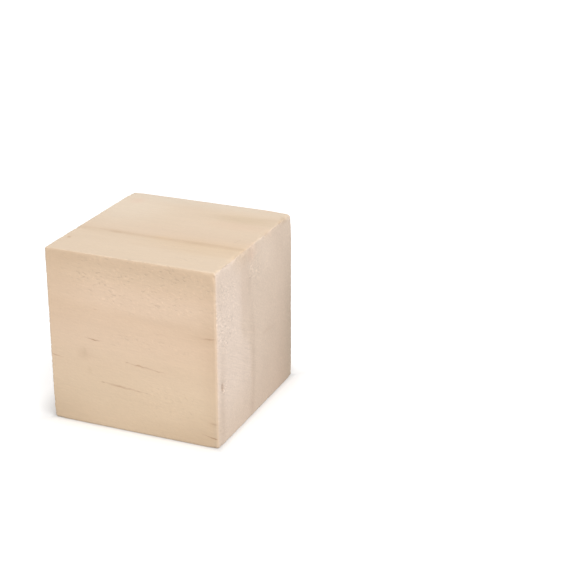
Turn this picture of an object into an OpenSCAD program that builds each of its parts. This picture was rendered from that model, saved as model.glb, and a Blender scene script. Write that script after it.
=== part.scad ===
// Solid craft cube, cut from one length of square strip wood.
// X runs along the grain, so the two X faces are end grain. Z is up.
// The origin is the middle of the underside.

/* [Cube] */
// Length of every side, over the outside faces
cube_side = 50; // [10:1:150]

/* [Easing] */
// Radius that the twelve edges are sanded back to, which also rounds the eight corners
edge_ease = 0.5; // [0.2:0.1:4]

/* [Hidden] */
round_steps = 64;
// Distance from the cube's middle to the axis of each eased edge
ease_axis = cube_side / 2 - edge_ease;
// Length of the flat that is left between two eased edges
flat_side = 2 * ease_axis;

// The flat stock: three slabs that cross, one reaching each pair of opposite faces.
module crossed_slabs() {
    cube([cube_side, flat_side, flat_side], center = true);
    cube([flat_side, cube_side, flat_side], center = true);
    cube([flat_side, flat_side, cube_side], center = true);
}

// The four eased edges that run along Z.
module upright_edges() {
    for (x = [-ease_axis, ease_axis], y = [-ease_axis, ease_axis])
        translate([x, y, 0])
            cylinder(h = flat_side, r = edge_ease, center = true, $fn = round_steps);
}

// All twelve eased edges: the same four, turned to each axis.
module eased_edges() {
    for (turn = [[0, 0, 0], [90, 0, 0], [0, 90, 0]])
        rotate(turn) upright_edges();
}

// A ball in each of the eight corners, where three eased edges meet.
module eased_corners() {
    for (x = [-ease_axis, ease_axis], y = [-ease_axis, ease_axis], z = [-ease_axis, ease_axis])
        translate([x, y, z])
            sphere(r = edge_ease, $fn = round_steps);
}

module wooden_cube() {
    color("burlywood")
        translate([0, 0, cube_side / 2])
            union() {
                crossed_slabs();
                eased_edges();
                eased_corners();
            }
}

wooden_cube();
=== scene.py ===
"""Looks of the wooden cube: a block of pale softwood, with rings, grain, streaks and eased edges."""
import math
from collections import namedtuple

import bpy
import numpy as np
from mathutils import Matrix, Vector, noise


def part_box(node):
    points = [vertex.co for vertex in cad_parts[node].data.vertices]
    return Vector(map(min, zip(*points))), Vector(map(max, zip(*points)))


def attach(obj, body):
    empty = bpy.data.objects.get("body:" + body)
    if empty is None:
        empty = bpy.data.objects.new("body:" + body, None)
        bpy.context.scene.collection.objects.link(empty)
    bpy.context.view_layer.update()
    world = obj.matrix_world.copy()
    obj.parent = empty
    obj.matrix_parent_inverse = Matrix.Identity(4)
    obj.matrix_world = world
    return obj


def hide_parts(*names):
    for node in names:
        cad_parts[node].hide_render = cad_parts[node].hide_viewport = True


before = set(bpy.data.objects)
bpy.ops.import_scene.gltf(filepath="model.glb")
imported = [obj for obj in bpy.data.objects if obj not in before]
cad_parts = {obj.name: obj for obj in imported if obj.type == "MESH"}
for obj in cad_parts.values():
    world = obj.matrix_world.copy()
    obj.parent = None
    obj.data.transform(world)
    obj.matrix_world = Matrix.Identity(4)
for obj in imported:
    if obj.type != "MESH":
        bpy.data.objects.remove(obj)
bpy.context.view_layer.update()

# Lengths are in millimetres wherever a name or comment gives no other unit. Places on the block are
# from the middle of its underside: x along the grain to the right end, y to the back, z up. The front
# face, at low y, and the right end, at high x, are the two upright faces that the photograph shows.
MM = 0.001
NODE = "wooden_cube"
LOW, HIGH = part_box(NODE)
SIDE = (HIGH.x - LOW.x) / MM
HALF = SIDE / 2


# ---------------------------------------------------------------- camera

CAMERA_AT = (3.538, -6.804, 3.757)  # from the middle of the underside, in sides of the cube
CAMERA_HEADING = math.radians(22.74)  # from +Y towards -X
CAMERA_PITCH = math.radians(22.08)  # down from level
CAMERA_LENS_MM = 93.27
NEAREST_SEEN = 0.01  # metres from the camera


def add_camera():
    """Looks down at the front face and the right end, with the cube left of the picture's middle."""
    data = bpy.data.cameras.new("camera")
    data.lens = CAMERA_LENS_MM
    data.clip_start = NEAREST_SEEN
    camera = bpy.data.objects.new("camera", data)
    bpy.context.scene.collection.objects.link(camera)
    camera.location = Vector(CAMERA_AT) * SIDE * MM
    camera.rotation_euler = (math.pi / 2 - CAMERA_PITCH, 0, CAMERA_HEADING)
    bpy.context.scene.camera = camera


# ---------------------------------------------------------------- the block's mesh

EASE = 0.46  # usual radius of an eased edge
EASE_MOST = 1.35  # no edge or corner is blunter than this
EASE_SHARES = (0.35, 0.7)  # extra mesh lines between the bluntest possible edge and the real one
ARC_STEPS = 3  # mesh steps from a flat to the middle of an eased edge
RIM_STEPS = (0.2, 0.27, 0.35)  # mesh steps next to an edge, where chips are
STEP_ALONG = 0.57  # mesh step along the grain
STEP_ACROSS = 0.39  # mesh step across the grain
SEED_SHIFT = 17.3  # how far apart in the noise two seeds lie, so that their patterns don't match
FRAYED = 0.45  # how much blunter the right end's top edge is where it has frayed
FLAKE_AT = 7.8  # the y where a long flake is missing from that edge
FLAKE_REACH = 2.3  # how far the flake reaches to each side of there
FLAKE_DEPTH, BITE_DEPTH, CRUMB_DEPTH = 0.46, 0.11, 0.06
CHIP_REACH = 0.85  # how far from an edge its chips fade out
TORN_FAR, TORN_NEAR = 3, 1  # how far from the torn edge its wear sets in, and is full
RIPPLE_DEPTH = 0.014
SAW_MARK_DEPTH = 0.022

MAP_COLUMNS, MAP_ROWS = 3, 2  # how the six faces lie on the bake map
MAP_MARGIN = 0.004  # round each face, as a share of the map

# An edge or corner that is blunter than the rest: the signs of x, y and z there, with 0 along an edge,
# how much its radius grows, and how far from there
Blunt = namedtuple("Blunt", "signs more reach")
BLUNT_SPOTS = (
    Blunt((1, -1, 0), 0.20, 1.5),
    Blunt((1, 1, 1), 0.75, 4.0),
    Blunt((-1, -1, -1), 0.45, 1.6),
    Blunt((1, -1, 1), 0.15, 1.2),
    Blunt((-1, -1, 1), 0.12, 1.6),
    Blunt((-1, 1, 1), 0.35, 1.6),
    Blunt((1, -1, -1), 0.15, 1.6),
    Blunt((1, 1, -1), 0.35, 1.6),
    Blunt((-1, 1, -1), 0.20, 1.6),
)

# A small knock: its place, its size along x, y and z, and its depth
Dent = namedtuple("Dent", "at size depth")
DENTS = (
    # the right end: first the nick by its front edge, in two parts
    Dent((25.0, -21.9, 17.0), (0.9, 0.50, 0.90), 0.55),
    Dent((25.0, -21.3, 16.0), (0.7, 0.60, 0.40), 0.40),
    Dent((25.0, -23.7, 4.8), (0.5, 0.45, 0.45), 0.22),
    Dent((25.0, 23.4, 20.6), (0.5, 0.60, 0.55), 0.25),
    Dent((25.0, -24.8, 41.8), (0.6, 0.60, 0.45), 0.20),
    Dent((25.0, 16.6, 49.6), (0.6, 0.80, 0.55), 0.26),
    # the top
    Dent((20.0, -1.4, 50.0), (1.1, 0.40, 0.50), 0.14),
    Dent((-23.0, -15.6, 50.0), (0.9, 0.45, 0.50), 0.16),
    # the left end and the back, which the photograph doesn't show
    Dent((-25.0, 9.0, 31.0), (0.5, 0.70, 0.60), 0.25),
    Dent((11.0, 25.0, 38.5), (1.6, 0.40, 0.45), 0.15),
    Dent((-14.0, 25.0, 9.5), (1.2, 0.40, 0.40), 0.18),
)


def grid_lines(step):
    """The mesh lines across one axis.

    Each has a place from -1 to 1, a turn round an eased edge, and its share of the way to that edge.
    """
    rim = np.cumsum((0.0,) + RIM_STEPS)
    reach = HALF - EASE_MOST - rim[-1]
    middle = np.linspace(-reach, reach, round(2 * reach / step) + 1)
    edge = HALF - EASE_MOST - rim[:-1]
    flat = np.concatenate([-edge, middle, edge[::-1]]) / (HALF - EASE_MOST)
    arc = np.tan(np.linspace(0, math.pi / 4, ARC_STEPS + 1))
    turn_end = np.concatenate([np.zeros(len(EASE_SHARES)), arc])
    share_end = np.concatenate([EASE_SHARES, np.ones(len(arc))])
    ones = np.ones(len(turn_end))
    place = np.concatenate([-ones, flat, ones])
    turn = np.concatenate([-turn_end[::-1], np.zeros(len(flat)), turn_end])
    share = np.concatenate([share_end[::-1], np.zeros(len(flat)), share_end])
    return place, turn, share


def noise_at(points, size, seed):
    """Smooth noise from -1 to 1 at each point. The size of its lumps is one length, or one for each axis."""
    scaled = points / np.array(size) + seed * SEED_SHIFT
    return np.array([noise.noise(p) for p in scaled.tolist()])


def smooth_step(values, start, end):
    """Goes smoothly from 0 to 1 as the values go from start to end."""
    share = np.clip((values - start) / (end - start), 0, 1)
    return share * share * (3 - 2 * share)


def lattice():
    """Every mesh point on the cube's skin as three line numbers, and the quads of each face.

    The faces come in the order low x, high x, low y, high y, low z, high z.
    """
    counts = [len(grid_lines(step)[0]) for step in (STEP_ALONG, STEP_ACROSS, STEP_ACROSS)]
    skins = []
    for axis in range(3):
        u, v = (axis + 1) % 3, (axis + 2) % 3
        for line in (0, counts[axis] - 1):
            grid = np.zeros((counts[u], counts[v], 3), int)
            grid[:, :, axis] = line
            grid[:, :, u], grid[:, :, v] = np.mgrid[0:counts[u], 0:counts[v]]
            # the low side's grid is turned over, so that its quads face outward too
            skins.append(grid if line else grid.transpose(1, 0, 2))
    everywhere = np.concatenate([grid.reshape(-1, 3) for grid in skins])
    lines, found = np.unique(everywhere, axis=0, return_inverse=True)
    quads = []
    start = 0
    for grid in skins:
        index = found[start:start + grid.shape[0] * grid.shape[1]].reshape(grid.shape[:2])
        start += index.size
        around = (index[:-1, :-1], index[1:, :-1], index[1:, 1:], index[:-1, 1:])
        quads.append(np.stack(around, -1).reshape(-1, 4))
    return lines, quads


def by_torn_edge(points):
    """1 at the right end's top edge, where the saw has torn the fibres, and 0 away from it."""
    near = smooth_step(points, HALF - TORN_FAR, HALF - TORN_NEAR)
    return near[:, 0] * near[:, 2]


def edge_radius(skin):
    """Each point's edge radius. It wanders, frays at the end grain, and is blunt in places."""
    wander = 0.24 * noise_at(skin, 11.0, 1) + 0.16 * noise_at(skin, 2.6, 2)
    frayed = smooth_step(noise_at(skin, 3.4, 9), -0.05, 0.45) * by_torn_edge(skin)
    radius = EASE * (1 + wander) + FRAYED * frayed
    for spot in BLUNT_SPOTS:
        signs = np.array(spot.signs)
        away = np.linalg.norm((skin - signs * HALF) * np.abs(signs), axis=1)
        radius += spot.more * np.exp(-(away / spot.reach) ** 2)
    return np.minimum(radius, EASE_MOST)


def block_shape():
    """The eased block: its points about its middle, their outward directions, and its faces' quads."""
    lines, quads = lattice()
    axes = [grid_lines(step) for step in (STEP_ALONG, STEP_ACROSS, STEP_ACROSS)]
    place, turn, share = (
        np.stack([axes[k][part][lines[:, k]] for k in range(3)], 1) for part in range(3)
    )
    radius = edge_radius(place * HALF)[:, None]
    outward = turn / np.linalg.norm(turn, axis=1)[:, None]
    inner = place * (HALF - EASE_MOST + share * (EASE_MOST - radius))
    return inner + radius * outward, outward, quads


def sanding_ripple(points):
    """The long, shallow unevenness that a belt sander leaves."""
    return RIPPLE_DEPTH * (1 + noise_at(points, (12.0, 6.0, 6.0), 3)) / 2


def saw_marks(points, outward):
    """Fine slanted scratches across the end grain."""
    slanted = points @ np.array([[0, 0, 0], [0, 0.91, 0.42], [0, -0.42, 0.91]])
    scratch = noise_at(slanted, (9.0, 7.0, 0.75), 4) + 0.5 * noise_at(slanted, (9.0, 3.0, 0.45), 5)
    on_ends = smooth_step(np.abs(outward[:, 0]), 0.8, 1.0)
    return SAW_MARK_DEPTH * np.clip(0.5 + scratch, 0, 1) * on_ends


def edge_chips(points):
    """Fibres torn out where an end meets a side: flakes along the torn edge, bites and crumbs along all."""
    from_end = HALF - np.abs(points[:, 0])
    from_side = HALF - np.abs(points[:, 1:]).max(1)
    away = np.hypot(from_end, from_side)
    small_flakes = smooth_step(noise_at(points, 2.3, 10), 0.10, 0.40)
    long_flake = np.exp(-((points[:, 1] - FLAKE_AT) / FLAKE_REACH) ** 4)
    flakes = np.maximum(small_flakes, long_flake) * by_torn_edge(points)
    bites = smooth_step(noise_at(points, (1.3, 0.9, 0.9), 6), 0.08, 0.50)
    crumbs = smooth_step(noise_at(points, (0.6, 0.45, 0.45), 7), 0.0, 0.5)
    depth = FLAKE_DEPTH * flakes + BITE_DEPTH * bites + CRUMB_DEPTH * crumbs
    return depth * np.exp(-(away / CHIP_REACH) ** 2)


def dents(points):
    """How deep the small knocks go at each point. The points are from the block's middle."""
    depth = np.zeros(len(points))
    ragged = 1 + 0.5 * noise_at(points, 0.5, 8)
    for dent in DENTS:
        away = (points - np.array(dent.at) + (0, 0, HALF)) / np.array(dent.size)
        depth += dent.depth * np.exp(-(away ** 2).sum(1) * ragged)
    return depth


def add_values(mesh, name, values):
    """Gives each mesh point a number, or a vector, that the material can read."""
    kind = "FLOAT_VECTOR" if values.ndim == 2 else "FLOAT"
    layer = mesh.attributes.new(name, kind, "POINT")
    layer.data.foreach_set("vector" if values.ndim == 2 else "value", values.astype(np.float32).ravel())


def add_bake_map(mesh, points, quads):
    """Lays the six faces side by side on one map, with the grain along the narrow way of its cells."""
    layer = mesh.uv_layers.new(name="OFBake")
    cell = np.array([1 / MAP_COLUMNS, 1 / MAP_ROWS])
    rows = []
    for face, corners in enumerate(quads):
        u, v = [k for k in range(3) if k != face // 2]
        spot = points[corners.reshape(-1)]
        share = (spot[:, [u, v]] / HALF + 1) / 2
        corner = np.array([face % MAP_COLUMNS, face // MAP_COLUMNS]) * cell
        rows.append(corner + MAP_MARGIN + share * (cell - 2 * MAP_MARGIN))
    layer.data.foreach_set("uv", np.concatenate(rows).astype(np.float32).ravel())


def build_block():
    """The block with every edge eased, sanded, chipped and knocked as a real one is."""
    points, outward, quads = block_shape()
    knocks = dents(points)
    depth = sanding_ripple(points) + saw_marks(points, outward) + edge_chips(points) + knocks
    points = points - outward * depth[:, None]
    mesh = bpy.data.meshes.new(NODE)
    mesh.from_pydata(((points + (0, 0, HALF)) * MM).tolist(), [], np.concatenate(quads).tolist())
    mesh.shade_smooth()
    add_values(mesh, "outward", outward)
    add_values(mesh, "knocks", knocks)
    add_bake_map(mesh, points, quads)
    block = bpy.data.objects.new("cube_block", mesh)
    bpy.context.scene.collection.objects.link(block)
    return block


# ---------------------------------------------------------------- shader nodes written as formulas

class Pattern:
    """Adds shader nodes to one tree, so that a pattern reads as a formula."""

    SEED_STEP = 7.3  # how far apart in the noise two seeds lie
    USUAL_SWING = 0.25  # how far the noise mostly strays from its middle, 0.5

    def __init__(self, tree):
        self.tree = tree

    def node(self, kind, **settings):
        made = self.tree.nodes.new("ShaderNode" + kind)
        for name, value in settings.items():
            setattr(made, name, value)
        return made

    def put(self, socket, value):
        if isinstance(value, bpy.types.NodeSocket):
            self.tree.links.new(value, socket)
        else:
            socket.default_value = value

    def maths(self, operation, *values):
        made = self.node("Math", operation=operation)
        for socket, value in zip(made.inputs, values):
            self.put(socket, value)
        return made.outputs[0]

    def add(self, *values):
        total = values[0]
        for value in values[1:]:
            total = self.maths("ADD", total, value)
        return total

    def times(self, *values):
        product = values[0]
        for value in values[1:]:
            product = self.maths("MULTIPLY", product, value)
        return product

    def vector(self, operation, *values):
        made = self.node("VectorMath", operation=operation)
        for socket, value in zip(made.inputs, values):
            self.put(socket, value)
        return made.outputs["Value" if operation in ("DOT_PRODUCT", "LENGTH") else "Vector"]

    def split(self, vector):
        made = self.node("SeparateXYZ")
        self.put(made.inputs[0], vector)
        return made.outputs

    def fade(self, value, start, end, low=0.0, high=1.0):
        """Goes smoothly from low to high as value goes from start to end."""
        made = self.node("MapRange", interpolation_type="SMOOTHSTEP")
        names = ("Value", "From Min", "From Max", "To Min", "To Max")
        for name, given in zip(names, (value, start, end, low, high)):
            self.put(made.inputs[name], given)
        return made.outputs["Result"]

    def mapped(self, place, scale=(1, 1, 1), turn=(0, 0, 0), move=(0, 0, 0)):
        """The place scaled, then turned, then moved."""
        made = self.node("Mapping")
        for name, value in (("Vector", place), ("Scale", scale), ("Rotation", turn), ("Location", move)):
            self.put(made.inputs[name], value)
        return made.outputs[0]

    def noise(self, place, size, detail=2.0, roughness=0.5, seed=0):
        """Noise from 0 to 1 with lumps of about size along x, y and z."""
        made = self.node("TexNoise")
        scale = tuple(1 / length for length in size)
        self.put(made.inputs["Vector"], self.mapped(place, scale, move=(self.SEED_STEP * seed, 0, 0)))
        self.put(made.inputs["Scale"], 1.0)
        self.put(made.inputs["Detail"], detail)
        self.put(made.inputs["Roughness"], roughness)
        return made.outputs["Fac"]

    def swing(self, place, size, amount, detail=2.0, roughness=0.5, seed=0):
        """Noise about 0 that mostly stays between minus amount and amount."""
        away = self.maths("SUBTRACT", self.noise(place, size, detail, roughness, seed), 0.5)
        return self.times(away, amount / self.USUAL_SWING)

    def mix(self, share, a, b, blend="MIX"):
        """Colour a with a share of colour b. The Mix node has its colour sockets at 6, 7 and 2."""
        made = self.node("Mix", data_type="RGBA", blend_type=blend)
        self.put(made.inputs["Factor"], share)
        self.put(made.inputs[6], a)
        self.put(made.inputs[7], b)
        return made.outputs[2]


# ---------------------------------------------------------------- the wood

PITH_Y, PITH_Z = -110.8, 16.5  # the growth rings' middle, which lies outside the block
DARK_LINE = 109.0  # how far from there the dark line runs
GRAIN_SLOPE = math.radians(4)  # how steeply the fibres run down towards +X
ROW_SLOPE = math.radians(28)  # how steeply the saw's rows on the ends run down towards the back

EARLYWOOD = (0.778, 0.617, 0.459, 1)
LATEWOOD = (0.570, 0.385, 0.228, 1)
LATEWOOD_END = (0.540, 0.405, 0.310, 1)
PINK_WOOD = (0.724, 0.533, 0.390, 1)
STREAK_BROWN = (0.36, 0.165, 0.070, 1)
KNOCK_BROWN = (0.40, 0.27, 0.19, 1)
# painted highlight along the eased edges
HIGHLIGHT_CREAM = (0.825, 0.665, 0.514, 1)

SPECK_TONE, SPECK_HEIGHT = 0.065, 0.026  # how much a torn fibre changes colour and height
SCRATCH_TONE = 0.044
RING_HEIGHT = 0.03  # hard latewood stands up a little after sanding
ROUGHNESS = 0.62
END_ROUGHER, STREAK_SMOOTHER = 0.10, -0.12

# The front face, which is cut along one ring
FLAT_SAWN = (0.790, 0.595, 0.422, 1)
# painted shade on the eased edges of the front
FRONT_EDGE_SHADE = (0.66, 0.49, 0.34, 1)
BAND_BROWN = (0.62, 0.44, 0.29, 1)
BAND_PALE = (0.89, 0.715, 0.565, 1)
# painted shade along the front's bottom
FOOT_SHADE_BROWN = (0.585, 0.435, 0.29, 1)
# painted shade in the front's lower corners
CORNER_SHADE_BROWN = (0.60, 0.44, 0.29, 1)
SMUDGE_BROWN = (0.55, 0.37, 0.24, 1)
STREAK_HALO = (0.60, 0.40, 0.26, 1)
PINK_TINT = (0.86, 0.57, 0.43, 1)
GREEN_TINT = (0.70, 0.62, 0.42, 1)

# The end grain
END_WOOD = (0.740, 0.597, 0.480, 1)
# a lighter tone, and painted light towards the right end's front edge
END_PALE = (0.88, 0.735, 0.640, 1)
# painted shade along the right end's bottom
END_FOOT_SHADE = (0.56, 0.43, 0.33, 1)
# painted shade towards the right end's back and bottom; also a darker tone on the left end
END_SHADE_AND_DARK_TONE = (0.535, 0.400, 0.300, 1)

# The top and the back
TOP_PINK = (0.819, 0.552, 0.362, 1)
BACK_BROWN = (0.62, 0.44, 0.28, 1)

EVERYWHERE = -60.0  # an x so far to the left that a ring shows along the whole block

# A line or band of the growth rings: its distance from the pith, how far it reaches before and after
# that, its strength, how much its distance grows per millimetre of x, and the x where it sets in
Ring = namedtuple("Ring", "radius before after strength lean appears")
RINGS = (
    # the dark line, its slow start and abrupt end, its soft far side, and a fainter line in front of it
    Ring(DARK_LINE, 2.3, 1.7, 0.22, 0.00, EVERYWHERE),
    Ring(DARK_LINE, 8.5, 0.9, 0.11, 0.00, EVERYWHERE),
    Ring(DARK_LINE + 0.2, 1.0, 3.5, 0.06, 0.00, EVERYWHERE),
    Ring(103.0, 2.0, 1.2, 0.05, 0.03, EVERYWHERE),
    # the band near the back, which sets in halfway along the top
    Ring(128.6, 4.6, 3.4, 0.17, 0.12, -4.0),
    Ring(125.2, 1.2, 0.8, 0.11, 0.12, 8.0),
    # a faint line near the front
    Ring(91.5, 1.1, 0.8, 0.07, 0.00, EVERYWHERE),
)


class Wood(Pattern):
    """The wood's pattern, with the places, directions and shares that its parts have in common."""

    def __init__(self, tree):
        super().__init__(tree)
        at = self.node("TexCoord").outputs["Object"]
        self.place = self.mapped(at, scale=(1 / MM, 1 / MM, 1 / MM))
        self.grain = self.mapped(self.place, turn=(0, -GRAIN_SLOPE, 0))
        self.saw_rows = self.mapped(self.place, turn=(ROW_SLOPE, 0, 0))
        self.x, self.y, self.z = self.split(self.place)
        outward = self.node("Attribute", attribute_name="outward").outputs["Vector"]
        out_x, out_y, out_z = self.split(outward)
        size_x, size_y, size_z = [self.maths("ABSOLUTE", part) for part in (out_x, out_y, out_z)]
        self.end = self.fade(size_x, 0.45, 0.95)
        self.sides = self.maths("SUBTRACT", 1.0, self.end)
        self.right_end = self.fade(out_x, 0.45, 0.95)
        self.front = self.fade(out_y, -0.45, -0.95)
        self.top_or_right = self.fade(self.maths("MAXIMUM", out_x, out_z), 0.45, 0.75)
        straight = self.maths("MAXIMUM", self.maths("MAXIMUM", size_x, size_y), size_z)
        self.eased = self.fade(straight, 0.97, 0.80)
        self.radius = self.ring_radius()

    def how_far(self, middle, size):
        """0 at the middle of an oval spot, and 1 where its size ends."""
        away = self.vector("SUBTRACT", self.place, middle)
        return self.vector("LENGTH", self.vector("DIVIDE", away, size))

    def ring_radius(self):
        """Each point's distance from the pith, bent and ruffled a little, as growth rings are."""
        across = self.vector("MULTIPLY", self.place, (0, 1, 1))
        straight = self.vector("LENGTH", self.vector("SUBTRACT", across, (0, PITH_Y, PITH_Z)))
        sway = self.swing(self.place, (50, 16, 16), 0.45)
        ruffle = self.swing(self.grain, (9, 0.8, 0.8), 0.16)
        return self.add(straight, sway, ruffle)


def ring_shade(w):
    """The growth rings' lines and bands, from 0 to 1. They are wider on the ends, and faint high up there."""
    blur = w.add(1.0, w.times(w.end, -0.3))
    total = 0.0
    for number, ring in enumerate(RINGS):
        past = w.maths("SUBTRACT", w.radius, w.add(ring.radius, w.times(w.x, ring.lean)))
        past = w.times(past, blur)
        band = w.times(w.fade(past, -ring.before, 0.0), w.fade(past, ring.after, 0.0))
        broad = w.swing(w.place, (12, 1.5, 6), 0.60, seed=number)
        fine = w.swing(w.place, (3.0, 0.3, 0.8), 0.45, seed=number)
        streaks = w.add(0.9, broad, fine)
        shown = w.fade(w.x, ring.appears, ring.appears + 14)
        total = w.add(total, w.times(band, streaks, shown, ring.strength))
    on_end = w.times(w.end, w.fade(w.z, 24.0, 32.0, 0.02, -0.38))
    return w.times(w.maths("MAXIMUM", total, 0.0), w.add(1.0, on_end))


# A thin streak from place to place: its width, the share of its length that each tip takes to reach
# full shade, and its strength
Mark = namedtuple("Mark", "start end width darkest strength")
MARKS = (
    # resin streaks in the front face: each a long faint one with short dark cores
    Mark((-14.9, -25.0, 25.8), (-8.4, -25.0, 25.4), 0.34, 0.60, 0.26),
    Mark((-13.8, -25.0, 25.7), (-8.9, -25.0, 25.4), 0.25, 0.50, 0.60),
    Mark((-2.9, -25.0, 20.6), (10.4, -25.0, 19.4), 0.36, 0.40, 0.26),
    Mark((-2.4, -25.0, 20.6), (-0.6, -25.0, 20.4), 0.26, 0.40, 0.38),
    Mark((0.0, -25.0, 20.4), (5.2, -25.0, 19.9), 0.27, 0.35, 0.50),
    Mark((5.6, -25.0, 19.8), (9.8, -25.0, 19.4), 0.25, 0.40, 0.30),
    Mark((-10.4, -25.0, 13.6), (6.6, -25.0, 12.2), 0.48, 0.35, 0.27),
    Mark((-10.0, -25.0, 13.5), (-8.2, -25.0, 13.3), 0.30, 0.45, 0.36),
    Mark((-7.6, -25.0, 13.3), (-0.6, -25.0, 12.8), 0.31, 0.50, 0.42),
    Mark((-0.4, -25.0, 12.8), (3.0, -25.0, 12.5), 0.22, 0.50, 0.30),
    Mark((-25.4, -25.0, 19.3), (-21.0, -25.0, 18.8), 0.24, 0.35, 0.40),
    Mark((20.2, -25.0, 31.2), (25.4, -25.0, 31.7), 0.34, 0.55, 0.36),
    Mark((20.0, -25.0, 3.6), (25.4, -25.0, 2.6), 0.28, 0.75, 0.62),
    Mark((21.9, -25.0, 7.4), (25.4, -25.0, 7.1), 0.40, 0.60, 0.25),
    Mark((-11.8, -25.0, 34.4), (-9.2, -25.0, 34.5), 0.24, 0.50, 0.13),
    Mark((5.5, -25.0, 30.6), (12.0, -25.0, 30.2), 0.30, 0.50, 0.08),
    # the right end
    Mark((25.0, 2.5, 21.9), (25.0, 15.0, 21.0), 0.85, 0.40, 0.09),
    # the back, the left end and the underside, which the photograph doesn't show
    Mark((-17.0, 25.0, 33.2), (-6.0, 25.0, 32.4), 0.34, 0.50, 0.26),
    Mark((-14.0, 25.0, 33.0), (-10.5, 25.0, 32.7), 0.25, 0.50, 0.60),
    Mark((2.5, 25.0, 17.4), (15.5, 25.0, 16.4), 0.36, 0.40, 0.28),
    Mark((6.0, 25.0, 17.1), (11.0, 25.0, 16.7), 0.26, 0.40, 0.62),
    Mark((18.5, 25.0, 40.4), (25.4, 25.0, 39.8), 0.32, 0.75, 0.45),
    Mark((-25.4, 25.0, 9.4), (-19.0, 25.0, 8.8), 0.30, 0.30, 0.50),
    Mark((-25.0, -9.5, 30.5), (-25.0, -3.5, 29.6), 0.42, 0.30, 0.22),
    Mark((-13.0, 6.2, 0.0), (-3.0, 5.8, 0.0), 0.30, 0.50, 0.50),
    Mark((5.0, -11.0, 0.0), (14.0, -11.5, 0.0), 0.32, 0.45, 0.50),
)


def mark_group():
    """A node group that gives 1 in the middle of one thin streak, and 0 away from it."""
    tree = bpy.data.node_groups.new("wood_mark", "ShaderNodeTree")
    face = tree.interface
    for name in ("Place", "Start", "End"):
        face.new_socket(name, in_out="INPUT", socket_type="NodeSocketVector")
    for name in ("Width", "Darkest", "Ragged"):
        face.new_socket(name, in_out="INPUT", socket_type="NodeSocketFloat")
    face.new_socket("Mark", in_out="OUTPUT", socket_type="NodeSocketFloat")
    p = Pattern(tree)
    place, start, end, width, darkest, ragged = list(tree.nodes.new("NodeGroupInput").outputs)[:6]
    along = p.vector("SUBTRACT", end, start)
    reach = p.vector("SUBTRACT", place, start)
    share = p.maths("DIVIDE", p.vector("DOT_PRODUCT", reach, along), p.vector("DOT_PRODUCT", along, along))
    inside = p.maths("MINIMUM", p.maths("MAXIMUM", share, 0.0), 1.0)
    nearest = p.node("VectorMath", operation="SCALE")
    p.put(nearest.inputs[0], along)
    p.put(nearest.inputs["Scale"], inside)
    away = p.add(p.vector("LENGTH", p.vector("SUBTRACT", reach, nearest.outputs[0])), ragged)
    full = p.times(p.fade(inside, 0.0, darkest), p.fade(inside, 1.0, darkest))
    half_width = p.times(width, p.add(0.45, p.times(full, 0.55)))
    core = p.fade(away, half_width, p.times(half_width, 0.2))
    mark = p.times(core, p.add(0.2, p.times(full, 0.8)))
    p.put(tree.nodes.new("NodeGroupOutput").inputs[0], mark)
    return tree


def mark_shade(w):
    """All the streaks, from 0 to 1. They waver a little up and down."""
    tree = mark_group()
    ragged = w.swing(w.place, (1.1, 0.25, 0.25), 0.10)
    wave = w.node("CombineXYZ")
    w.put(wave.inputs["Z"], w.swing(w.place, (1.7, 5.0, 5.0), 0.15, detail=1.0))
    bent = w.vector("ADD", w.place, wave.outputs[0])
    total = 0.0
    for mark in MARKS:
        drawn = w.node("Group", node_tree=tree)
        settings = (bent, mark.start, mark.end, mark.width, mark.darkest, ragged)
        for socket, value in zip(drawn.inputs, settings):
            w.put(socket, value)
        total = w.maths("MAXIMUM", total, w.times(drawn.outputs[0], mark.strength))
    return total


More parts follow.
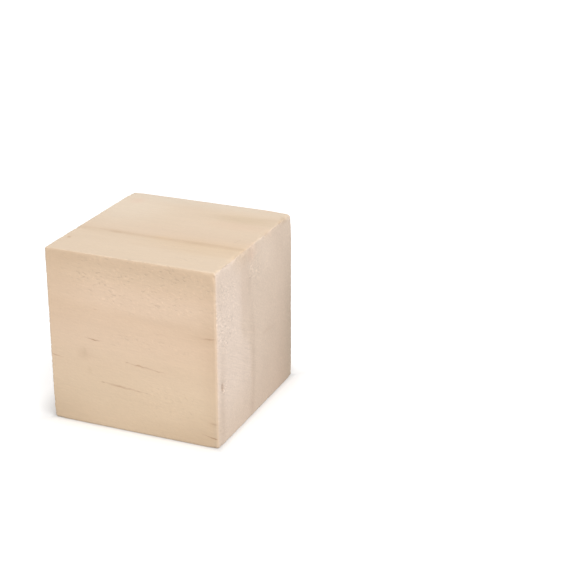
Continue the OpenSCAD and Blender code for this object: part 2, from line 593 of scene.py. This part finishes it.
# A soft patch of another tone: its middle, its reach along x, y and z, its colour and its strength.
# Where two overlap, the later one lies over the earlier.
Patch = namedtuple("Patch", "middle size colour strength")
PATCHES = (
    # the front: its smudge, the brown round its streaks, then broad tones, among them painted shade at the
    # upper left, in the lower corners and along the bottom
    Patch((-14.6, -25.0, 21.0), (2.6, 2.0, 2.4), SMUDGE_BROWN, 0.26),
    Patch((-14.3, -25.0, 21.4), (0.6, 2.0, 1.5), (0.50, 0.37, 0.21, 1), 0.16),
    Patch((-13.0, -25.0, 16.2), (0.9, 2.0, 1.5), (0.55, 0.39, 0.23, 1), 0.15),
    Patch((-11.6, -25.0, 20.5), (3.2, 2.0, 0.8), SMUDGE_BROWN, 0.12),
    Patch((22.0, -25.0, 31.2), (5.0, 2.0, 1.3), STREAK_HALO, 0.24),
    Patch((24.0, -25.0, 7.0), (2.8, 2.0, 1.0), STREAK_HALO, 0.22),
    Patch((24.5, -25.0, 33.0), (12.0, 0.8, 9.0), BAND_BROWN, 0.14),
    # painted shade at the upper left
    Patch((-23.0, -25.0, 42.0), (15.0, 0.8, 14.0), (0.68, 0.49, 0.32, 1), 0.36),
    # painted shade in the lower corners
    Patch((-26.0, -25.0, 0.0), (17.0, 0.8, 14.0), CORNER_SHADE_BROWN, 0.46),
    Patch((26.0, -25.0, 0.0), (18.0, 0.8, 12.0), CORNER_SHADE_BROWN, 0.60),
    Patch((-8.0, -25.0, 24.5), (27.0, 0.8, 7.5), (0.90, 0.71, 0.54, 1), 0.17),
    Patch((8.0, -25.0, 16.0), (16.0, 0.8, 5.0), (0.88, 0.69, 0.51, 1), 0.13),
    # painted shade along the bottom
    Patch((11.0, -25.0, 1.0), (14.0, 0.8, 5.5), (0.60, 0.445, 0.295, 1), 0.22),
    Patch((20.0, -25.0, 33.0), (13.0, 0.8, 5.0), (0.66, 0.47, 0.31, 1), 0.16),
    Patch((7.0, -25.0, 33.6), (17.0, 0.8, 1.6), BAND_BROWN, 0.12),
    Patch((26.5, -25.0, 26.0), (7.5, 0.8, 36.0), BAND_BROWN, 0.42),
    # the right end: a painted highlight on the rim along the front edge, that rim darker low down, then broad
    # tones, with painted shade at the lower back
    # painted highlight on the front rim
    Patch((25.0, -25.2, 26.0), (0.8, 2.2, 60.0), (0.90, 0.705, 0.575, 1), 0.38),
    Patch((25.0, -25.0, 3.0), (2.0, 2.4, 12.0), (0.60, 0.475, 0.355, 1), 0.34),
    Patch((25.0, -4.0, 48.5), (0.8, 1.6, 4.5), (0.56, 0.42, 0.33, 1), 0.30),
    # painted shade at the lower back
    Patch((25.0, 27.0, 6.0), (4.0, 14.0, 18.0), (0.520, 0.385, 0.285, 1), 0.34),
    Patch((25.0, 5.5, 45.0), (0.8, 8.0, 8.0), (0.860, 0.710, 0.580, 1), 0.28),
    Patch((25.0, -7.6, 39.0), (0.8, 4.0, 13.0), (0.660, 0.500, 0.400, 1), 0.24),
    # the top: its pale and pink tones, and darker and lighter stretches along the dark line
    Patch((-20.0, 14.0, 50.0), (17.5, 19.0, 6.0), (0.857, 0.733, 0.590, 1), 0.46),
    Patch((-20.0, 18.5, 50.0), (3.0, 3.5, 3.0), (0.819, 0.571, 0.438, 1), 0.30),
    Patch((-13.5, -7.4, 50.0), (2.8, 0.9, 2.0), (0.495, 0.324, 0.190, 1), 0.30),
    Patch((12.0, -7.0, 50.0), (13.0, 1.5, 2.0), (0.571, 0.381, 0.238, 1), 0.20),
    Patch((0.5, -7.0, 50.0), (4.0, 1.6, 2.0), (0.838, 0.609, 0.381, 1), 0.35),
    Patch((-1.5, 23.2, 50.0), (2.6, 1.7, 2.0), TOP_PINK, 0.40),
    Patch((18.5, 23.6, 50.0), (2.8, 1.4, 2.0), TOP_PINK, 0.35),
    Patch((-23.0, -15.6, 50.0), (0.8, 0.7, 0.7), (0.590, 0.343, 0.171, 1), 0.60),
    Patch((15.0, -9.0, 50.0), (23.0, 8.0, 6.0), (0.762, 0.552, 0.347, 1), 0.38),
    Patch((15.0, 14.5, 50.0), (11.0, 4.5, 4.0), (0.685, 0.533, 0.343, 1), 0.34),
    Patch((16.5, 9.0, 50.0), (14.0, 4.5, 4.0), (0.762, 0.547, 0.395, 1), 0.38),
    Patch((0.0, 24.5, 50.0), (40.0, 6.5, 2.5), (0.800, 0.695, 0.571, 1), 0.50),
    # the back's bands and tones, and the left end's
    Patch((-8.0, 25.0, 38.5), (42.0, 0.8, 3.4), BACK_BROWN, 0.26),
    Patch((12.0, 25.0, 27.0), (36.0, 0.8, 2.0), BACK_BROWN, 0.22),
    Patch((-12.0, 25.0, 14.0), (32.0, 0.8, 4.5), (0.92, 0.74, 0.57, 1), 0.30),
    Patch((18.0, 25.0, 5.0), (12.0, 0.8, 5.0), (0.58, 0.40, 0.25, 1), 0.28),
    Patch((-25.0, -19.0, 36.0), (0.8, 10.0, 15.0), (0.88, 0.735, 0.635, 1), 0.30),
    Patch((-25.0, 19.0, 12.0), (0.8, 9.0, 18.0), END_SHADE_AND_DARK_TONE, 0.30),
    # the right end again: its rubbed top edge, the pink by the dark line, then dark strips of painted shade,
    # one down the back edge and two beside the front rim
    Patch((25.2, 20.0, 50.0), (1.9, 4.2, 1.6), (0.52, 0.375, 0.240, 1), 0.50),
    Patch((25.0, 7.8, 50.0), (1.5, 3.0, 1.5), (0.58, 0.440, 0.310, 1), 0.42),
    Patch((25.0, -2.4, 47.6), (3.0, 3.4, 3.4), (0.80, 0.57, 0.43, 1), 0.34),
    # painted shade down the back edge
    Patch((25.0, 25.5, 13.0), (0.8, 8.5, 37.0), (0.450, 0.365, 0.275, 1), 0.56),
    # painted shade beside the front rim
    Patch((25.0, -22.1, 9.0), (0.8, 2.0, 14.0), (0.560, 0.430, 0.330, 1), 0.38),
    Patch((25.0, -21.6, 22.0), (0.8, 2.4, 9.0), (0.580, 0.450, 0.350, 1), 0.24),
)


def soft_patches(w, colour):
    """All the patches, with ragged rims."""
    ragged = w.swing(w.grain, (3.0, 0.8, 0.8), 0.12)
    for patch in PATCHES:
        distance = w.add(w.how_far(patch.middle, patch.size), ragged)
        colour = w.mix(w.fade(distance, 1.15, 0.1, 0.0, patch.strength), colour, patch.colour)
    return colour


def pink_by_line(w, colour):
    """The sides are pinker just behind the dark line, more so towards the right end."""
    past_line = w.maths("SUBTRACT", w.radius, DARK_LINE + 0.6)
    behind = w.times(w.fade(past_line, -1.2, 0.4), w.fade(past_line, 15.0, 0.0))
    pink = w.times(behind, w.fade(w.x, -25.0, 5.0, 0.5, 1.0), w.sides)
    return w.mix(w.times(pink, 0.36), colour, PINK_WOOD)


def front_bands(w, colour):
    """The front's bands and tints: brown at top, pale under the top, then pinker, then greener, and painted
    shade that darkens the bottom.
    """
    height = w.add(w.z, w.times(w.x, 0.07), w.swing(w.grain, (30, 6, 2.5), 0.8))
    # painted shade, darker towards the bottom
    painted_foot_shade = w.add(w.fade(w.z, 14.0, -2.0), w.fade(w.z, 3.0, -1.0, 0.0, 0.35))
    tones = (
        (w.fade(height, 40.5, 48.5), 0.32, BAND_BROWN),
        (w.times(w.fade(height, 32.8, 36.6), w.fade(height, 45.0, 38.0)), 0.20, BAND_PALE),
        (painted_foot_shade, 0.30, FOOT_SHADE_BROWN),
        (w.times(w.fade(w.z, 20.0, 28.0), w.fade(w.z, 46.0, 40.0)), 0.12, PINK_TINT),
        (w.fade(w.z, 24.0, 10.0), 0.13, GREEN_TINT),
    )
    for place, strength, tone in tones:
        colour = w.mix(w.times(w.front, place, strength), colour, tone)
    return colour


def end_tone_light_and_shade(w, colour):
    """The right end: a lighter tone past a ragged step by the front edge, painted light that brightens it
    towards that edge, painted shade along the bottom, and painted shade that darkens it towards the back and
    the bottom.
    """
    drift = w.swing(w.place, (9, 7, 9), 0.06)
    backward = w.add(w.fade(w.y, -12.0, 25.0), drift)
    downward = w.fade(w.z, 52.0, 5.0, 0.12, 1.0)
    # painted shade: darker towards the back and the bottom
    painted_shade = w.times(w.right_end, w.maths("MAXIMUM", backward, 0.0), downward)
    # painted light: brighter towards the front edge
    painted_light = w.times(w.fade(w.y, 0.0, -17.0), w.fade(w.z, 4.0, 34.0, 0.35, 1.0), 0.19)
    pale_edge = w.add(w.y, w.fade(w.z, 18.0, 30.0, 0.0, 6.0), w.swing(w.place, (5, 2.5, 4), 1.2))
    pale_height = w.times(w.fade(w.z, 2.0, 16.0), w.fade(w.z, 46.0, 36.0, 0.17, 0.30))
    pale_step = w.times(w.fade(pale_edge, -2.0, -5.0), pale_height)
    pale_and_painted_light = w.times(w.right_end, w.add(painted_light, pale_step))
    # painted shade along the bottom
    painted_foot_shade = w.times(w.right_end, w.fade(w.z, 18.0, -3.0))
    colour = w.mix(pale_and_painted_light, colour, END_PALE)
    colour = w.mix(w.times(painted_foot_shade, 0.20), colour, END_FOOT_SHADE)
    return w.mix(w.times(painted_shade, 0.72), colour, END_SHADE_AND_DARK_TONE)


def edge_highlights(w, colour):
    """Painted highlights: creamy stretches along the eased edges of the top and the right end, fainter at the
    back.
    """
    stretches = w.fade(w.noise(w.place, (3.2, 3.2, 3.2)), 0.40, 0.60, 0.0, 0.75)
    painted_highlight = w.times(stretches, w.fade(w.y, 11.0, 18.0, 1.0, 0.25))
    return w.mix(w.times(w.eased, w.top_or_right, painted_highlight), colour, HIGHLIGHT_CREAM)


# A place where the saw or a blunt knife has torn the fibres: its middle, reach and strength
FuzzyPlace = namedtuple("FuzzyPlace", "middle size strength")
FUZZY_PLACES = (
    # the right end
    FuzzyPlace((25.0, -19.5, 37.0), (5.0, 8.0, 11.0), 0.8),
    FuzzyPlace((25.0, -20.0, 31.0), (5.0, 6.5, 4.5), 1.3),
    FuzzyPlace((25.0, -1.0, 43.0), (5.0, 4.0, 6.0), 0.9),
    FuzzyPlace((25.0, -20.2, 16.2), (5.0, 2.0, 1.8), 1.6),
    # the left end
    FuzzyPlace((-25.0, 13.0, 17.0), (5.0, 11.0, 10.0), 0.8),
    # the front
    FuzzyPlace((3.0, -25.0, 44.0), (25.0, 1.5, 10.0), 1.0),
    FuzzyPlace((3.0, -25.0, 27.0), (16.0, 1.5, 3.0), 0.6),
    FuzzyPlace((10.0, -25.0, 11.0), (13.0, 1.5, 5.0), 0.5),
    # the top
    FuzzyPlace((21.5, -2.2, 50.0), (2.6, 2.2, 5.0), 1.0),
    FuzzyPlace((6.5, -11.5, 50.0), (3.0, 1.2, 5.0), 0.7),
    FuzzyPlace((14.5, -18.5, 50.0), (6.0, 2.0, 5.0), 0.7),
    FuzzyPlace((-4.0, -20.0, 50.0), (5.0, 1.6, 5.0), 0.5),
)


def fuzzy_share(w):
    """How strongly the fibres are torn: 0 outside the fuzzy places."""
    ragged = w.swing(w.place, (5, 5, 3), 0.35)
    total = 0.0
    for place in FUZZY_PLACES:
        distance = w.add(w.how_far(place.middle, place.size), ragged)
        total = w.maths("MAXIMUM", total, w.fade(distance, 1.2, 0.5, 0.0, place.strength))
    return total


def light_and_dark(w, pattern, light, dark):
    """Specks about 0 from one noise pattern. Light and dark each have a start, an end and a strength."""
    light_specks = w.fade(pattern, light[0], light[1], 0.0, light[2])
    dark_specks = w.fade(pattern, dark[0], dark[1], 0.0, dark[2])
    return w.maths("SUBTRACT", light_specks, dark_specks)


def speckle(w):
    """Torn fibres, light and dark: in slanting rows on the ends, and strewn over places on the sides."""
    end_noise = w.noise(w.saw_rows, (2, 0.80, 0.46), 0.0)
    end_dots = light_and_dark(w, end_noise, (0.57, 0.71, 1.25), (0.42, 0.26, 0.85))
    rows = w.fade(w.noise(w.saw_rows, (9, 6, 1.4)), 0.40, 0.60, 0.35, 1.0)
    side_noise = w.noise(w.grain, (1.0, 0.7, 0.62), 0.0)
    side_dots = light_and_dark(w, side_noise, (0.61, 0.78, 1.0), (0.40, 0.22, 1.5))
    flocks = w.fade(w.noise(w.place, (4, 4, 2.5)), 0.36, 0.56, 0.25, 1.0)
    fuzzy = fuzzy_share(w)
    return w.add(
        w.times(w.end, fuzzy, rows, end_dots, 1.8),
        w.times(w.end, end_dots, 0.40),
        w.times(w.sides, fuzzy, flocks, side_dots),
    )


def scratches(w):
    """The saw's faint slanting lines across the right end, about 0. They are clearest in its middle."""
    lines = w.swing(w.saw_rows, (4, 6, 0.34), 1.0, detail=1.0)
    middle = w.times(w.fade(w.z, 8.0, 14.0), w.fade(w.z, 36.0, 26.0), w.fade(w.y, 8.0, -4.0))
    return w.times(w.right_end, lines, w.add(0.2, middle))


def fine_tone(w, specks):
    """A factor about 1 for broad drift, growth lines, fibres, fuzz, pores, specks and scratches."""
    drift = w.swing(w.grain, (45, 9, 9), 0.024)
    lines = w.swing(w.grain, (50, 1.5, 1.5), 0.008)
    fibres = w.swing(w.grain, (5, 0.5, 0.5), 0.017, detail=3.0, roughness=0.6)
    fuzz = w.swing(w.place, (0.9, 0.6, 0.6), 0.014, detail=1.0)
    pores = w.times(w.end, w.swing(w.place, (4, 0.5, 0.5), 0.022, detail=1.0))
    torn = w.times(specks, SPECK_TONE)
    sawn = w.times(scratches(w), SCRATCH_TONE)
    return w.add(1.0, drift, lines, fibres, fuzz, pores, torn, sawn)


def wood_colour(w, rings, marks, specks):
    """The wood's colour: broad tones with painted light and shade, then rings, painted shade on the front's
    eased edges, streaks and knocks, then the fine pattern.
    """
    colour = w.mix(w.front, EARLYWOOD, FLAT_SAWN)
    colour = w.mix(w.end, colour, END_WOOD)
    for tone in (pink_by_line, front_bands, end_tone_light_and_shade, edge_highlights, soft_patches):
        colour = tone(w, colour)
    colour = w.mix(rings, colour, w.mix(w.end, LATEWOOD, LATEWOOD_END))
    # painted shade that dims the front's eased edges
    colour = w.mix(w.times(w.eased, w.front, 0.85), colour, FRONT_EDGE_SHADE)
    colour = w.mix(marks, colour, STREAK_BROWN)
    knocks = w.node("Attribute", attribute_name="knocks").outputs["Fac"]
    colour = w.mix(w.fade(knocks, 0.05, 0.45, 0.0, 0.7), colour, KNOCK_BROWN)
    return w.mix(1.0, colour, fine_tone(w, specks), blend="MULTIPLY")


def wood_height(w, rings, specks):
    """Height in millimetres of what is too fine for the mesh."""
    fibres = w.swing(w.grain, (3, 0.4, 0.4), 0.007, detail=3.0)
    fuzz = w.swing(w.place, (0.9, 0.6, 0.6), 0.009, detail=1.0)
    pores = w.times(w.end, w.swing(w.place, (3, 0.5, 0.5), 0.016))
    fine = w.add(w.times(fibres, w.sides), fuzz, pores)
    return w.add(fine, w.times(rings, RING_HEIGHT), w.times(specks, SPECK_HEIGHT))


def wood_roughness(w, marks):
    """Bare wood is matt, the end grain more so, and the resin of the streaks less."""
    drift = w.swing(w.grain, (6, 0.6, 0.6), 0.05)
    return w.add(ROUGHNESS, w.times(w.end, END_ROUGHER), drift, w.times(marks, STREAK_SMOOTHER))


def wood_material():
    material = bpy.data.materials.new("bare_wood")
    material.use_nodes = True
    w = Wood(material.node_tree)
    shader = material.node_tree.nodes["Principled BSDF"]
    rings = ring_shade(w)
    marks = mark_shade(w)
    specks = speckle(w)
    w.put(shader.inputs["Base Color"], wood_colour(w, rings, marks, specks))
    w.put(shader.inputs["Roughness"], wood_roughness(w, marks))
    bump = w.node("Bump")
    bump.inputs["Strength"].default_value = 1.0
    bump.inputs["Distance"].default_value = MM
    w.put(bump.inputs["Height"], wood_height(w, rings, specks))
    w.put(shader.inputs["Normal"], bump.outputs[0])
    return material


# ---------------------------------------------------------------- floor, backdrop and light

FLOOR_REACH = 6.0  # metres from the middle to each side
FLOOR_GREY = 0.72  # how much light the floor gives back to the block
# Each of these goes between two distances from the block, in metres, from one value to another
CONTACT = (0.0, 0.0016, 0.87, 1.0)  # the floor's colour where block and floor meet: a thin shade
# the near glow is least next to the block, which deepens the block's shadow there: painted shade
NEAR_GLOW = (0.0, 0.012, 0.0, 0.33)  # what the floor adds where it is seen directly
FAR_GLOW = (0.12, 0.65, 0.0, 0.35)  # and what it adds to that farther away
DOME_LIGHT = 0.55  # the even light from all round
KEY_HEADING = math.radians(46)  # from the front face towards the right end
KEY_HEIGHT = math.radians(47)  # up from level
KEY_AWAY = 0.80  # metres from the block
KEY_SIZE = 1.0  # metres across
KEY_POWER = 5.2  # watts


def seen_directly(p):
    """1 for the rays of the camera, reflections and glass, and 0 for the rays that light the block."""
    path = p.node("LightPath").outputs
    seen = p.maths("MAXIMUM", path["Is Camera Ray"], path["Is Glossy Ray"])
    return p.maths("MAXIMUM", seen, path["Is Transmission Ray"])


def floor_material():
    """Plain white to the camera, apart from the block's soft shadow."""
    material = bpy.data.materials.new("white_floor")
    material.use_nodes = True
    p = Pattern(material.node_tree)
    shader = material.node_tree.nodes["Principled BSDF"]
    seen = seen_directly(p)
    shader.inputs["Roughness"].default_value = 0.9
    shader.inputs["Specular IOR Level"].default_value = 0.0
    shader.inputs["Emission Color"].default_value = (1, 1, 1, 1)
    x, y, _ = p.split(p.node("TexCoord").outputs["Object"])
    farthest = p.maths("MAXIMUM", p.maths("ABSOLUTE", x), p.maths("ABSOLUTE", y))
    away = p.maths("SUBTRACT", farthest, HALF * MM)
    p.put(shader.inputs["Base Color"], p.fade(seen, 0.0, 1.0, FLOOR_GREY, p.fade(away, *CONTACT)))
    glow = p.add(p.fade(away, *NEAR_GLOW), p.fade(away, *FAR_GLOW))
    p.put(shader.inputs["Emission Strength"], p.times(seen, glow))
    return material


def add_floor():
    mesh = bpy.data.meshes.new("floor")
    corners = [(x * FLOOR_REACH, y * FLOOR_REACH, 0) for x, y in ((-1, -1), (1, -1), (1, 1), (-1, 1))]
    mesh.from_pydata(corners, [], [(0, 1, 2, 3)])
    mesh.materials.append(floor_material())
    floor = bpy.data.objects.new("floor", mesh)
    bpy.context.scene.collection.objects.link(floor)


def add_world():
    """An even white dome, which looks plain white to the camera and in reflections."""
    world = bpy.data.worlds.new("world")
    bpy.context.scene.world = world
    world.use_nodes = True
    tree = world.node_tree
    dome = tree.nodes["Background"]
    dome.inputs["Color"].default_value = (1, 1, 1, 1)
    p = Pattern(tree)
    p.put(dome.inputs["Strength"], p.fade(seen_directly(p), 0.0, 1.0, DOME_LIGHT, 1.0))


def add_key():
    """One large soft lamp, above and in front of the edge between the front face and the right end."""
    data = bpy.data.lights.new("key", "AREA")
    data.shape = "DISK"
    data.size = KEY_SIZE
    data.energy = KEY_POWER
    key = bpy.data.objects.new("key", data)
    bpy.context.scene.collection.objects.link(key)
    level = Vector((math.sin(KEY_HEADING), -math.cos(KEY_HEADING), 0))
    towards = level * math.cos(KEY_HEIGHT) + Vector((0, 0, math.sin(KEY_HEIGHT)))
    key.location = towards * KEY_AWAY + Vector((0, 0, HALF * MM))
    key.rotation_euler = towards.to_track_quat("Z", "Y").to_euler()


add_camera()
block = build_block()
block.data.materials.append(wood_material())
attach(block, "root")
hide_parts(NODE)
add_floor()
add_world()
add_key()
bpy.context.scene.view_settings.view_transform = "Standard"
